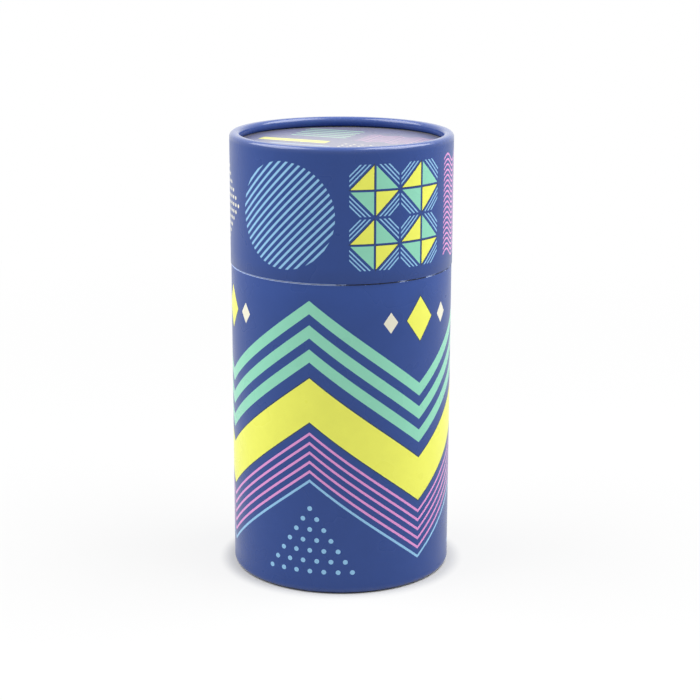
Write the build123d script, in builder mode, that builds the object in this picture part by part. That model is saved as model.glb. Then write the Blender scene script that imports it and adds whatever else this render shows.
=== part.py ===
"""Cylindrical gift tube box: a wound board tube with a lift-off lid.

Both shells are board tubes covered with printed paper, and each has its closed end rolled inwards over a board
disc. An inner tube, the neck, lines the body and stands above it, and the lid slides over the part that stands up.
Millimetres, +Z up. The origin is on the table, on the tube's axis. The back of the box, where the printed sheets
overlap, faces +Y.
"""

import os
from math import cos, degrees, radians, sin

from build123d import *

# Overall sizes
body_radius = 42.5  # over the printed wrap
body_height = 120.7  # from the table to the body's upper edge
lid_height = 50.2  # from the lid's lower edge to its crown
seam_gap = 0.3  # between the lid's lower edge and the body's upper edge
neck_rise = 22.0  # how far the neck stands above the body's upper edge

# Board
body_board = 1.4
lid_board = 1.2
neck_board = 1.0
base_disc_board = 2.0
lid_disc_board = 2.0

# Paper
body_wrap_paper = 0.2
lid_wrap_paper = 0.2
neck_wrap_paper = 0.2
neck_lining_paper = 0.2
lid_lining_paper = 0.2
base_facing_paper = 0.2
lid_facing_paper = 0.2
base_lining_paper = 0.2
lid_disc_lining_paper = 0.2

# Rolled ends
roll_bend = 0.2  # inner radius of the bent board
roll_flat = 0.8  # flat crown that the roll is pressed to
body_recess = 4.0  # from the body's lower crown up to the base disc's face
lid_recess = 4.0  # from the lid's crown down to the lid disc's face

# Neck
neck_fit = 0.2  # radial clearance between the neck and the lid's lining
neck_turn_in = 12.0  # how far the neck's covering paper turns down inside
neck_edge_round = 0.3  # rounding of the neck board's upper edge

# Printed sheets' overlap
lap_width = 9.0  # width of the glued overlap, along the circumference
lap_margin = 1.0  # the overlap is pressed flush this far before the roll begins

# Radii, worked inwards from the body's outside
body_board_radius = body_radius - body_wrap_paper
body_bore_radius = body_board_radius - body_board
neck_board_radius = body_bore_radius - neck_wrap_paper
neck_bore_radius = neck_board_radius - neck_board
lining_bore_radius = neck_bore_radius - neck_lining_paper

# Radii, worked outwards from the neck to the lid's outside
lid_lining_bore_radius = body_bore_radius + neck_fit
lid_bore_radius = lid_lining_bore_radius + lid_lining_paper
lid_board_radius = lid_bore_radius + lid_board
lid_radius = lid_board_radius + lid_wrap_paper

# Heights
lid_edge_z = body_height + seam_gap
crown_z = lid_edge_z + lid_height
neck_top_z = body_height + neck_rise
base_board_z = body_recess + base_facing_paper
base_lining_z = base_board_z + base_disc_board
neck_lining_z = base_lining_z + base_lining_paper
lid_face_z = crown_z - lid_recess
lid_board_z = lid_face_z - lid_facing_paper
lid_disc_lining_z = lid_board_z - lid_disc_board
lid_lining_z = lid_disc_lining_z - lid_disc_lining_paper

# Rolls: the radius of each shell's outer corner
body_roll_radius = body_wrap_paper + body_board + roll_bend
lid_roll_radius = lid_wrap_paper + lid_board + roll_bend

# Printed sheets' overlap: the angle that it covers
body_lap_angle = degrees(lap_width / body_radius)
lid_lap_angle = degrees(lap_width / lid_radius)


def layer_path(radius, crown, edge, recess, roll_radius, depth):
    """One surface of a rolled wall, as joined lines and arcs, from the cut edge round the roll to its end.

    The surface lies at the given depth inside the wall's outer surface."""
    way = 1 if edge > crown else -1
    roll_z = crown + way * roll_radius
    bend = roll_radius - depth
    outer_r = radius - depth
    inner_r = radius - 2 * roll_radius - roll_flat + depth
    flat_outer_r = radius - roll_radius
    flat_inner_r = flat_outer_r - roll_flat
    flat_z = crown + way * depth
    corner = bend * (1 - cos(radians(45)))
    Line((outer_r, edge), (outer_r, roll_z))
    ThreePointArc((outer_r, roll_z), (outer_r - corner, flat_z + way * corner), (flat_outer_r, flat_z))
    Line((flat_outer_r, flat_z), (flat_inner_r, flat_z))
    ThreePointArc((flat_inner_r, flat_z), (inner_r + corner, flat_z + way * corner), (inner_r, roll_z))
    Line((inner_r, roll_z), (inner_r, crown + way * recess))
    return (outer_r, edge), (inner_r, crown + way * recess)


def rolled_layer(radius, crown, edge, recess, roll_radius, depth, thickness):
    """Adds the section of one layer of a rolled wall to the sketch."""
    with BuildLine() as outline:
        cut_a, end_a = layer_path(radius, crown, edge, recess, roll_radius, depth)
        cut_b, end_b = layer_path(radius, crown, edge, recess, roll_radius, depth + thickness)
        Line(cut_a, cut_b)
        Line(end_a, end_b)
    make_face(outline.edges())


def ring_section(inner_r, outer_r, low_z, high_z, mode=Mode.ADD):
    """Adds the section of a plain ring, or of a disc where the inner radius is zero, to the sketch."""
    with BuildLine() as outline:
        Polyline((inner_r, low_z), (outer_r, low_z), (outer_r, high_z), (inner_r, high_z), close=True)
    make_face(outline.edges(), mode=mode)


def lap_plane(lap_angle):
    """The upright plane through the axis where a printed sheet's overlap begins, half of it before +Y."""
    turn = radians(90 - lap_angle / 2)
    return Plane(origin=(0, 0, 0), x_dir=(cos(turn), sin(turn), 0), z_dir=(sin(turn), -cos(turn), 0))


# Body: board tube with its lower end rolled in
with BuildPart() as body_tube:
    with BuildSketch(Plane.XZ):
        rolled_layer(body_radius, 0, body_height, body_recess, body_roll_radius, body_wrap_paper, body_board)
    revolve(axis=Axis.Z)
body_tube.part.label = "body_tube"

# Body: printed sheet, rolled in together with the board
with BuildPart() as body_wrap:
    with BuildSketch(Plane.XZ):
        rolled_layer(body_radius, 0, body_height, body_recess, body_roll_radius, 0, body_wrap_paper)
    revolve(axis=Axis.Z)
    with BuildSketch(lap_plane(body_lap_angle)):
        ring_section(body_radius, body_radius + body_wrap_paper, body_roll_radius + lap_margin, body_height)
    revolve(axis=Axis.Z, revolution_arc=body_lap_angle)
body_wrap.part.label = "body_wrap"

# Base: paper dish glued over the disc's lower face and edge
with BuildPart() as base_facing:
    with BuildSketch(Plane.XZ):
        ring_section(0, body_bore_radius, body_recess, base_board_z)
        ring_section(body_bore_radius - base_facing_paper, body_bore_radius, base_board_z, base_lining_z)
    revolve(axis=Axis.Z)
base_facing.part.label = "base_facing"

# Base: board disc
with BuildPart() as base_disc:
    with BuildSketch(Plane.XZ):
        ring_section(0, body_bore_radius - base_facing_paper, base_board_z, base_lining_z)
    revolve(axis=Axis.Z)
base_disc.part.label = "base_disc"

# Base: lining paper on the floor of the box, inside the neck tube
with BuildPart() as base_lining:
    with BuildSketch(Plane.XZ):
        ring_section(0, neck_bore_radius, base_lining_z, neck_lining_z)
    revolve(axis=Axis.Z)
base_lining.part.label = "base_lining"

# Neck: inner board tube that stands on the base disc and holds it against the roll
with BuildPart() as neck_tube:
    with BuildSketch(Plane.XZ):
        ring_section(neck_bore_radius, neck_board_radius, base_lining_z, neck_top_z - neck_wrap_paper)
        fillet(vertices().group_by(Axis.Y)[-1], neck_edge_round)
    revolve(axis=Axis.Z)
neck_tube.part.label = "neck_tube"

# Neck: covering paper, over the outside and the top and turned in
with BuildPart() as neck_wrap:
    with BuildSketch(Plane.XZ):
        ring_section(neck_bore_radius - neck_wrap_paper, body_bore_radius, base_lining_z, neck_top_z)
        ring_section(
            neck_bore_radius, neck_board_radius, base_lining_z, neck_top_z - neck_wrap_paper, Mode.SUBTRACT
        )
        ring_section(0, neck_board_radius, base_lining_z, neck_top_z - neck_turn_in, Mode.SUBTRACT)
        fillet(vertices().group_by(Axis.Y)[-1], neck_edge_round + neck_wrap_paper)
        fillet(vertices().group_by(Axis.Y)[-2], neck_edge_round)
    revolve(axis=Axis.Z)
neck_wrap.part.label = "neck_wrap"

# Neck: lining paper inside, from the floor up to the turned-in paper
with BuildPart() as neck_lining:
    with BuildSketch(Plane.XZ):
        ring_section(lining_bore_radius, neck_bore_radius, neck_lining_z, neck_top_z - neck_turn_in)
    revolve(axis=Axis.Z)
neck_lining.part.label = "neck_lining"

# Lid: board tube with its upper end rolled in
with BuildPart() as lid_tube:
    with BuildSketch(Plane.XZ):
        rolled_layer(lid_radius, crown_z, lid_edge_z, lid_recess, lid_roll_radius, lid_wrap_paper, lid_board)
    revolve(axis=Axis.Z)
lid_tube.part.label = "lid_tube"

# Lid: printed sheet, rolled in together with the board
with BuildPart() as lid_wrap:
    with BuildSketch(Plane.XZ):
        rolled_layer(lid_radius, crown_z, lid_edge_z, lid_recess, lid_roll_radius, 0, lid_wrap_paper)
    revolve(axis=Axis.Z)
    with BuildSketch(lap_plane(lid_lap_angle)):
        ring_section(lid_radius, lid_radius + lid_wrap_paper, lid_edge_z, crown_z - lid_roll_radius - lap_margin)
    revolve(axis=Axis.Z, revolution_arc=lid_lap_angle)
lid_wrap.part.label = "lid_wrap"

# Lid: printed paper dish over the disc's upper face and edge
with BuildPart() as lid_facing:
    with BuildSketch(Plane.XZ):
        ring_section(0, lid_lining_bore_radius, lid_board_z, lid_face_z)
        ring_section(
            lid_lining_bore_radius - lid_facing_paper, lid_lining_bore_radius, lid_disc_lining_z, lid_board_z
        )
    revolve(axis=Axis.Z)
lid_facing.part.label = "lid_facing"

# Lid: board disc
with BuildPart() as lid_disc:
    with BuildSketch(Plane.XZ):
        ring_section(0, lid_lining_bore_radius - lid_facing_paper, lid_disc_lining_z, lid_board_z)
    revolve(axis=Axis.Z)
lid_disc.part.label = "lid_disc"

# Lid: lining paper under the disc
with BuildPart() as lid_disc_lining:
    with BuildSketch(Plane.XZ):
        ring_section(0, lid_lining_bore_radius, lid_lining_z, lid_disc_lining_z)
    revolve(axis=Axis.Z)
lid_disc_lining.part.label = "lid_disc_lining"

# Lid: lining paper inside the tube, which runs on behind the disc's edge up to the roll
with BuildPart() as lid_lining:
    with BuildSketch(Plane.XZ):
        ring_section(lid_lining_bore_radius, lid_bore_radius, lid_edge_z, lid_face_z)
    revolve(axis=Axis.Z)
lid_lining.part.label = "lid_lining"

pieces = [
    body_tube,
    body_wrap,
    base_facing,
    base_disc,
    base_lining,
    neck_tube,
    neck_wrap,
    neck_lining,
    lid_tube,
    lid_wrap,
    lid_facing,
    lid_disc,
    lid_disc_lining,
    lid_lining,
]

os.makedirs("parts", exist_ok=True)
for piece in pieces:
    export_step(piece.part, f"parts/{piece.part.label}.step")
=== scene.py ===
"""Looks of a cylindrical gift tube box: printed sheets, boards, neck, linings and stage.

Metres, +Z up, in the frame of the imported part. The front of the box faces -Y and the printed sheets
overlap at the back. A printed sheet is laid out flat, with its inks as outlines on it, cut into strips
and then wrapped round the tube: its first direction, along, runs round the box to the viewer's right
from the middle of the front, and its second, up, is the height on the wall.
"""

import math

import bmesh
import bpy
from bpy.props import FloatProperty, FloatVectorProperty, IntProperty, PointerProperty
from mathutils import Matrix, Vector
from mathutils.geometry import delaunay_2d_cdt


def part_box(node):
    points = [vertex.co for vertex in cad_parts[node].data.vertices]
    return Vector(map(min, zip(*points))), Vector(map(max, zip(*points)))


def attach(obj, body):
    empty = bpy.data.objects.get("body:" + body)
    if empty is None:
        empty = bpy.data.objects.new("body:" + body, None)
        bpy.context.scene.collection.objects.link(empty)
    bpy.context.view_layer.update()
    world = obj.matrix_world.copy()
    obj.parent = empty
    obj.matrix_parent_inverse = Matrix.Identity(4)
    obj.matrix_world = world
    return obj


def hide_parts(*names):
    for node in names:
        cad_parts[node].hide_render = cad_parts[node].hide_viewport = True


bl_info = {
    "name": "Gift Tube Box",
    "version": (1, 0, 0),
    "blender": (4, 5, 0),
    "location": "3D View > Sidebar > Gift Tube",
    "description": "Makes the sheets, boards, neck, linings and stage of a cylindrical gift tube box",
    "category": "Add Mesh",
}

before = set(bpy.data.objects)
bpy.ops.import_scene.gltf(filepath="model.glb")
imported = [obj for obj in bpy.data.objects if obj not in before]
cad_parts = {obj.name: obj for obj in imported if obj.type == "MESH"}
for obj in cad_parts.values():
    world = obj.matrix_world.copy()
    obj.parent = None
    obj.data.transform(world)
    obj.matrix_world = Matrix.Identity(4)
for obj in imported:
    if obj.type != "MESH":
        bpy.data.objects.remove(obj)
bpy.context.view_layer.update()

MM = 0.001
FULL_TURN = 2 * math.pi
QUARTER_TURN = math.pi / 2
SAME_PLACE = 0.0005 * MM  # points this near to each other are one
SHARP_ANGLE = math.radians(35)  # an edge that turns by more than this stays crisp

# Inks and papers, in the order of a sheet's material slots
# The dark trap ink round yellow shapes also paints shade on the rolled end of a sheet
GROUND, YELLOW, MINT, PINK, SKY, CREAM, OVERPRINT_AND_SHADE, CUT_EDGE, PAPER = range(9)
STOCK_NAMES = ("ground", "yellow", "mint", "pink", "sky", "cream", "overprint", "cut_edge", "paper")

# Boards and papers
BOARD_ROUND = 0.3 * MM  # rounding of a board's edges
LINING_GAP = 0.3 * MM  # between the neck's lining and the paper turned in above it
LINING_PITCH = 82.0 * MM  # height that the linings' seam climbs in a turn
BOARD_PITCH = 95.0 * MM  # height that the boards' seam climbs in a turn
LAP_STEPS = 4  # strips on the slope up which an overlap climbs
RIM_STEPS = 7  # flat steps in a quarter turn over the neck's rim
CUT_WAVES = ((0.18 * MM, 5, 0), (0.09 * MM, 17, 1))  # height, number in a turn and start of each

# Where the sides of a printed sheet lie on the bake map: start and height of each, and the edges' line
OUTER_MAP = (0.52, 0.48)
INNER_MAP = (0.0, 0.46)
EDGE_MAP = 0.49

# Where a printed disc lies on the bake map: middle and radius of its face, start and size of its rim
FACE_MAP = (0.25, 0.75, 0.25)
RIM_MAP = (0.72, 0.02, 0.45, 0.4)

# Diamonds in the valleys of the body's zigzags: place from the valley, half width, half height, ink
DIAMOND_LEVEL = 105.5 * MM
DIAMONDS = (
    (0.0, 6.5 * MM, 8.5 * MM, YELLOW),
    (-13.5 * MM, 3.0 * MM, 4.0 * MM, CREAM),
    (13.5 * MM, 3.0 * MM, 4.0 * MM, CREAM),
)

# Finishes: each roughness runs from the first value to the second over the paper's slow mottle
NOISE_SPAN = (0.3, 0.7)  # where most of a noise's values lie
VARNISH_ROUGHNESS = (0.26, 0.32)
CUT_EDGE_ROUGHNESS = (0.45, 0.85)
PAPER_ROUGHNESS = (0.72, 0.86)
BOARD_ROUGHNESS = (0.82, 0.94)
GRAIN_DEPTH = 0.12 * MM  # height of the bump of paper grain
BOARD_GRAIN_DEPTH = 0.15 * MM
FILM = {
    "Coat Roughness": 0.25,
    "Coat IOR": 1.7,
    "Sheen Weight": 0.6,
    "Sheen Roughness": 0.35,
    "Sheen Tint": (1.0, 0.86, 0.58, 1),
}


def round_size(node):
    """The outer radius, the lowest height and the highest height of a round CAD node."""
    low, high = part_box(node)
    return high.x, low.z, high.z


body_radius, _, body_top = round_size("body_wrap")
body_board_radius, _, _ = round_size("body_tube")
base_radius, base_face, _ = round_size("base_facing")
lid_radius, lid_edge, crown = round_size("lid_wrap")
lid_board_radius, _, _ = round_size("lid_tube")
lid_bore_radius, _, _ = round_size("lid_lining")
disc_radius, _, disc_face = round_size("lid_facing")
paper = body_radius - body_board_radius
lap_drop = paper / 4  # width over which the cut end of an overlap drops


class Shell:
    """A board tube under a printed sheet, cut at one end and rolled in over a disc at the other."""

    def __init__(self, radius, board, edge, top, disc_face):
        self.radius = radius  # over the printed sheet
        self.girth = FULL_TURN * radius
        self.board = board  # thickness
        self.edge = edge  # height of the cut end
        self.top = top  # height of the rolled end
        self.recess = abs(disc_face - top)
        self.way = 1 if edge > top else -1  # up or down, from the rolled end to the cut end

    def roll(self, shape):
        """The radius of the outer corner of the rolled end."""
        return paper + self.board + shape.roll_bend


body_shell = Shell(body_radius, body_board_radius - base_radius, body_top, 0, base_face)
lid_shell = Shell(lid_radius, lid_board_radius - lid_bore_radius, lid_edge, crown, disc_face)


class TubeShape(bpy.types.PropertyGroup):
    """Sizes of the rolls, the overlaps and the trimmed edges, which the frame's boxes don't give."""

    turn_strips: IntProperty(
        name="Strips in a turn", description="Flat strips that make up a full turn", default=180, min=24
    )
    bend_steps: IntProperty(
        name="Steps in a bend", description="Flat steps in a quarter turn of a roll", default=8, min=2
    )
    wall_steps: IntProperty(
        name="Steps up a wall", description="Rows of faces on a straight wall", default=8, min=1
    )
    roll_bend: FloatProperty(
        name="Roll bend", description="Inner radius of the bent board", default=0.2 * MM, unit="LENGTH"
    )
    roll_flat: FloatProperty(
        name="Roll flat", description="Flat that the roll is pressed to", default=0.8 * MM,
        unit="LENGTH",
    )
    lap_width: FloatProperty(
        name="Overlap width", description="Glued overlap of a printed sheet", default=9.0 * MM,
        unit="LENGTH",
    )
    lap_rise: FloatProperty(
        name="Overlap rise", description="Way over which the upper sheet climbs onto the lower one",
        default=1.6 * MM, unit="LENGTH",
    )
    lap_margin: FloatProperty(
        name="Overlap margin", description="The overlap is pressed flush this far before the roll",
        default=1.0 * MM, unit="LENGTH",
    )
    trim_height: FloatProperty(
        name="Trimmed edge", description="Height of the bared paper at a cut edge", default=0.13 * MM,
        unit="LENGTH",
    )
    trim_depth: FloatProperty(
        name="Trim depth", description="How far a cut edge is bevelled inwards", default=0.06 * MM,
        unit="LENGTH",
    )
    sheet_gap: FloatProperty(
        name="Sheet gap", description="Between the rolled sheet's end and the disc", default=0.15 * MM,
        unit="LENGTH",
    )
    board_gap: FloatProperty(
        name="Board gap", description="Between the rolled board's end and the disc", default=0.5 * MM,
        unit="LENGTH",
    )
    tuck_height: FloatProperty(
        name="Tuck height", description="End of the roll that curls back", default=2.0 * MM,
        unit="LENGTH",
    )
    tuck_depth: FloatProperty(
        name="Tuck depth", description="How far the end of the roll curls back", default=1.05 * MM,
        unit="LENGTH",
    )
    tuck_steps: IntProperty(
        name="Steps in the tuck", description="Rows of faces on the curled end", default=5, min=1
    )
    turn_in: FloatProperty(
        name="Turn-in", description="How far the neck's covering paper turns down inside",
        default=12.0 * MM, unit="LENGTH",
    )


class TubeInks(bpy.types.PropertyGroup):
    """Colours of the inks, the papers and the board."""

    ground: FloatVectorProperty(
        name="Ground", description="Blue ground", default=(0.026, 0.060, 0.226), subtype="COLOR"
    )
    yellow: FloatVectorProperty(
        name="Yellow", description="Yellow ink", default=(0.735, 0.752, 0.108), subtype="COLOR"
    )
    mint: FloatVectorProperty(
        name="Mint", description="Mint ink", default=(0.232, 0.570, 0.415), subtype="COLOR"
    )
    pink: FloatVectorProperty(
        name="Pink", description="Pink ink", default=(0.645, 0.262, 0.550), subtype="COLOR"
    )
    sky: FloatVectorProperty(
        name="Sky", description="Pale blue ink", default=(0.245, 0.470, 0.690), subtype="COLOR"
    )
    cream: FloatVectorProperty(
        name="Cream", description="Cream ink", default=(0.700, 0.680, 0.550), subtype="COLOR"
    )
    # also used as painted shade on the rolled end of a printed sheet
    overprint: FloatVectorProperty(
        name="Overprint", description="Where yellow overlaps blue", default=(0.028, 0.045, 0.090),
        subtype="COLOR",
    )
    paper: FloatVectorProperty(
        name="Paper", description="Bare white paper", default=(0.800, 0.790, 0.750), subtype="COLOR"
    )
    frayed: FloatVectorProperty(
        name="Frayed edge", description="Paper fibre tinted by the blue ground",
        default=(0.500, 0.620, 0.950), subtype="COLOR",
    )
    board: FloatVectorProperty(
        name="Board", description="Wound grey-brown board", default=(0.220, 0.192, 0.152),
        subtype="COLOR",
    )


class TubePrint(bpy.types.PropertyGroup):
    """Sizes of the printed pattern."""

    wave_count: IntProperty(
        name="Zigzags in a turn", description="Zigzags that fit round the body", default=3, min=1
    )
    zigzag_rise: FloatProperty(
        name="Zigzag rise", description="Height from a valley to a peak", default=34.0 * MM,
        unit="LENGTH",
    )
    zigzag_shift: FloatProperty(
        name="Zigzag shift", description="Place of a peak from the middle of the front",
        default=-12.0 * MM, unit="LENGTH",
    )
    band_height: FloatProperty(
        name="Yellow band", description="Height of the yellow zigzag", default=17.0 * MM, unit="LENGTH"
    )
    stripe_height: FloatProperty(
        name="Mint stripe", description="Height of a mint zigzag", default=5.0 * MM, unit="LENGTH"
    )
    line_height: FloatProperty(
        name="Fine line", description="Height of a pink zigzag", default=1.15 * MM, unit="LENGTH"
    )
    trap: FloatProperty(
        name="Overprint line", description="Dark line round a yellow shape", default=0.35 * MM,
        unit="LENGTH",
    )
    tile_size: FloatProperty(
        name="Lid motif", description="Width of a motif on the lid", default=40.0 * MM, unit="LENGTH"
    )


class TubeStage(bpy.types.PropertyGroup):
    """The camera, which stands where the photograph was taken from, and the lamps."""

    camera_distance: FloatProperty(
        name="Camera distance", description="In front of the tube's axis", default=0.7095, unit="LENGTH"
    )
    camera_height: FloatProperty(
        name="Camera height", description="Above the table", default=0.2727, unit="LENGTH"
    )
    camera_pitch: FloatProperty(
        name="Camera pitch", description="Downward tilt", default=math.radians(14.807), subtype="ANGLE"
    )
    camera_yaw: FloatProperty(
        name="Camera yaw", description="Turn to the right", default=math.radians(0.275), subtype="ANGLE"
    )
    camera_roll: FloatProperty(
        name="Camera roll", description="Turn about the view", default=math.radians(0.165),
        subtype="ANGLE",
    )
    camera_lens: FloatProperty(
        name="Camera lens", description="Focal length on a 36 mm sensor", default=96.37, unit="CAMERA"
    )
    left_power: FloatProperty(
        name="Left softbox", description="Power of the left softbox", default=11.0, unit="POWER"
    )
    right_power: FloatProperty(
        name="Right softbox", description="Power of the right softbox", default=13.0, unit="POWER"
    )
    side_size: FloatProperty(
        name="Softbox size", description="Side of each softbox", default=0.8, unit="LENGTH"
    )
    side_distance: FloatProperty(
        name="Softbox distance", description="From the middle of the box", default=0.9, unit="LENGTH"
    )
    side_turn: FloatProperty(
        name="Softbox turn", description="From the front to each side", default=math.radians(85),
        subtype="ANGLE",
    )
    left_tilt: FloatProperty(
        name="Left softbox height", description="Angle above the middle of the box",
        default=math.radians(48), subtype="ANGLE",
    )
    right_tilt: FloatProperty(
        name="Right softbox height", description="Angle above the middle of the box",
        default=math.radians(54), subtype="ANGLE",
    )
    sky_level: FloatProperty(
        name="Room level", description="Strength of the light from all round", default=0.43, min=0.0
    )


# Lines and profiles


def arc(middle_a, middle_b, radius, first, last, steps):
    """Points round part of a circle, from one angle to another, with both ends."""
    angles = [first + (last - first) * k / steps for k in range(steps + 1)]
    return [(middle_a + radius * math.cos(a), middle_b + radius * math.sin(a)) for a in angles]


def between(first, last, steps):
    """Points that cut a straight line into even steps, without its ends."""
    (a, b), (c, d) = first, last
    return [(a + (c - a) * k / steps, b + (d - b) * k / steps) for k in range(1, steps)]


def centred(count, step):
    """Places in a row, a step apart, with the middle of the row at 0."""
    return [(k - (count - 1) / 2) * step for k in range(count)]


def spaced(places, least):
    """Places in their order, without those that lie no further than least from the one before."""
    return [p for k, p in enumerate(places) if k == 0 or p - places[k - 1] > least]


def path_lengths(points):
    """The way along a line of points to each of them."""
    lengths = [0.0]
    for before, after in zip(points, points[1:]):
        lengths.append(lengths[-1] + math.dist(before, after))
    return lengths


def along_path(points, lengths, way):
    """The radius and height at a way along a profile."""
    final = len(lengths) - 2
    index = next((k for k in range(final) if way <= lengths[k + 1]), final)
    share = (way - lengths[index]) / (lengths[index + 1] - lengths[index])
    low, high = points[index], points[index + 1]
    return low[0] + (high[0] - low[0]) * share, low[1] + (high[1] - low[1]) * share


def rolled_profile(shell, depth, gap, shape, trim=0.0):
    """Points of one surface of a rolled wall, from its cut edge along the wall and round the roll.

    Each point is a radius and a height. The surface lies at the given depth inside the wall's outer
    surface, its end lies the given gap away from the disc, and its cut edge is bevelled by trim."""
    way, roll = shell.way, shell.roll(shape)
    outer, bend = shell.radius - depth, roll - depth
    roll_z = shell.top + way * roll
    wall_start = shell.edge - way * shape.trim_height
    points = [(outer - trim, shell.edge), (outer, wall_start)]
    points += between((outer, wall_start), (outer, roll_z), shape.wall_steps)
    crest, quarter = shell.radius - roll, -way * QUARTER_TURN
    points += arc(crest, roll_z, bend, 0, quarter, shape.bend_steps)
    points += arc(crest - shape.roll_flat, roll_z, bend, quarter, 2 * quarter, shape.bend_steps)
    leg, end = points[-1][0], shell.top + way * (shell.recess - gap)
    for step in range(shape.tuck_steps + 1):
        share = step / shape.tuck_steps
        height = end - way * shape.tuck_height * (1 - share)
        points.append((leg + shape.tuck_depth * share**2, height))
    return points


def rounded_top(inner_r, outer_r, top, radius, steps):
    """Points over the rounded upper edge of a wall, from its outer side to its inner side."""
    points = arc(outer_r - radius, top - radius, radius, 0, QUARTER_TURN, steps)
    return points + arc(inner_r + radius, top - radius, radius, QUARTER_TURN, math.pi, steps)


# Printed shapes: each is an ink and the points of its outline


def ribbon(ink, middle, height):
    """A printed stripe of even height along a line of points."""
    lower = [(along, up - height / 2) for along, up in middle]
    upper = [(along, up + height / 2) for along, up in middle]
    return ink, lower + upper[::-1]


def bar(ink, first, last, level, height):
    """A straight printed stripe."""
    return ribbon(ink, [(first, level), (last, level)], height)


def ripple(ink, first, last, level, height, wave, swing, steps):
    """A printed wavy line."""
    places = [first + (last - first) * k / steps for k in range(steps + 1)]
    middle = [(p, level + swing * math.sin(FULL_TURN * (p - first) / wave)) for p in places]
    return ribbon(ink, middle, height)


def dot(ink, along, up, radius, sides=12):
    """A printed dot."""
    return ink, arc(along, up, radius, 0, FULL_TURN, sides)[:-1]


def tri_wave(place):
    """A triangle wave that is 1 at whole numbers and -1 half way between them."""
    return 4 * abs(place - math.floor(place) - 0.5) - 1


def band(ink, level, height, wave, rise, peak, girth):
    """A zigzag stripe right round a sheet."""
    half = wave / 2
    first = math.ceil((-girth / 2 - peak) / half)
    last = math.floor((girth / 2 - peak) / half)
    turns = [peak + half * k for k in range(first, last + 1)]
    places = spaced([-girth / 2, *turns, girth / 2], 0.01 * MM)
    return ribbon(ink, [(p, level + rise / 2 * tri_wave((p - peak) / wave)) for p in places], height)


def anticlockwise(points):
    """The points of an outline, in anticlockwise order."""
    area = sum(a[0] * b[1] - b[0] * a[1] for a, b in zip(points, points[1:] + points[:1]))
    return points if area > 0 else points[::-1]


def grown(shape, amount, ink):
    """The shape with its outline moved outwards, in another ink."""
    points = [Vector(point) for point in anticlockwise(shape[1])]
    sharpest = 0.3  # a sharper corner is moved no further than this allows
    moved = []
    for before, here, after in zip(points[-1:] + points[:-1], points, points[1:] + points[:1]):
        side_in, side_out = (here - before).normalized(), (after - here).normalized()
        normal_in, normal_out = Vector((side_in.y, -side_in.x)), Vector((side_out.y, -side_out.x))
        corner = (normal_in + normal_out).normalized()
        moved.append(tuple(here + corner * amount / max(corner.dot(normal_in), sharpest)))
    return ink, moved


def with_traps(shapes, amount):
    """The shapes, each yellow one with a dark trap line beneath it, in the ink where yellow overlaps
    blue.
    """
    result = []
    for shape in shapes:
        if shape[0] == YELLOW:
            result.append(grown(shape, amount, OVERPRINT_AND_SHADE))
        result.append(shape)
    return result


def body_shapes(sizes):
    """The body's pattern: stacked zigzags, dots under their peaks and diamonds in their valleys."""
    girth = body_shell.girth
    wave, peak = girth / sizes.wave_count, sizes.zigzag_shift
    stripe_count, stripe_level, stripe_step = 3, 95.0 * MM, 9.2 * MM
    band_level = 59.5 * MM
    band_height = sizes.band_height
    trapped_height = band_height + 3 * sizes.trap  # its slant makes the dark line look thinner
    line_inks, line_level, line_step = [PINK] * 5 + [SKY], 46.5 * MM, 3.7 * MM
    dot_rows, dot_level, dot_rise, dot_step = 7, 34.0 * MM, 4.2 * MM, 5.46 * MM
    dot_radius, dot_sides = 0.95 * MM, 14
    shapes = []

    def zigzag(ink, level, height):
        shapes.append(band(ink, level, height, wave, sizes.zigzag_rise, peak, girth))

    for k in range(stripe_count):
        zigzag(MINT, stripe_level - k * stripe_step, sizes.stripe_height)
    zigzag(OVERPRINT_AND_SHADE, band_level, trapped_height)
    zigzag(YELLOW, band_level, band_height)
    for k, ink in enumerate(line_inks):
        zigzag(ink, line_level - k * line_step, sizes.line_height)
    for turn in range(sizes.wave_count):
        top = peak + wave * (turn - sizes.wave_count // 2)
        for row in range(dot_rows):
            for off in centred(row + 1, dot_step):
                shapes.append(dot(SKY, top + off, dot_level - row * dot_rise, dot_radius, dot_sides))
        for off, wide, high, ink in DIAMONDS:
            along, up = top + wave / 2 + off, DIAMOND_LEVEL
            points = [(along - wide, up), (along, up - high), (along + wide, up), (along, up + high)]
            shapes.extend(with_traps([(ink, points)], sizes.trap))
    return shapes


def hatched_disc(along, up, size):
    """Slanting sky-blue lines that fill a circle."""
    radius, step, width = size / 2, 2.15 * MM, 0.85 * MM
    slant = math.radians(45)
    run = Vector((math.cos(slant), math.sin(slant)))
    across = Vector((-math.sin(slant), math.cos(slant)))
    middle = Vector((along, up))
    count = int(radius / step)
    shapes = []
    for k in range(-count, count + 1):
        near, far = k * step - width / 2, k * step + width / 2
        if max(abs(near), abs(far)) >= radius:
            continue
        near_half, far_half = math.sqrt(radius**2 - near**2), math.sqrt(radius**2 - far**2)
        ends = ((near, -near_half), (near, near_half), (far, far_half), (far, -far_half))
        shapes.append((SKY, [tuple(middle + across * off + run * way) for off, way in ends]))
    return shapes


def quilt_quarter(ink, along, up, side, rise, cell):
    """A quarter of a diamond and the slanting lines past it. Side and rise are 1 or -1."""
    gap, line, step, lines = 0.45 * MM, 0.7 * MM, 1.75 * MM, 3
    limit = cell - gap
    outlines = [(ink, [(gap, gap), (limit - gap, gap), (gap, limit - gap)])]
    for k in range(1, lines + 1):
        near, far = cell + k * step - line - limit, cell + k * step - limit
        outlines.append((SKY, [(near, limit), (far, limit), (limit, far), (limit, near)]))
    return [(ink, [(along + side * out, up + rise * over) for out, over in o]) for ink, o in outlines]


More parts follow.
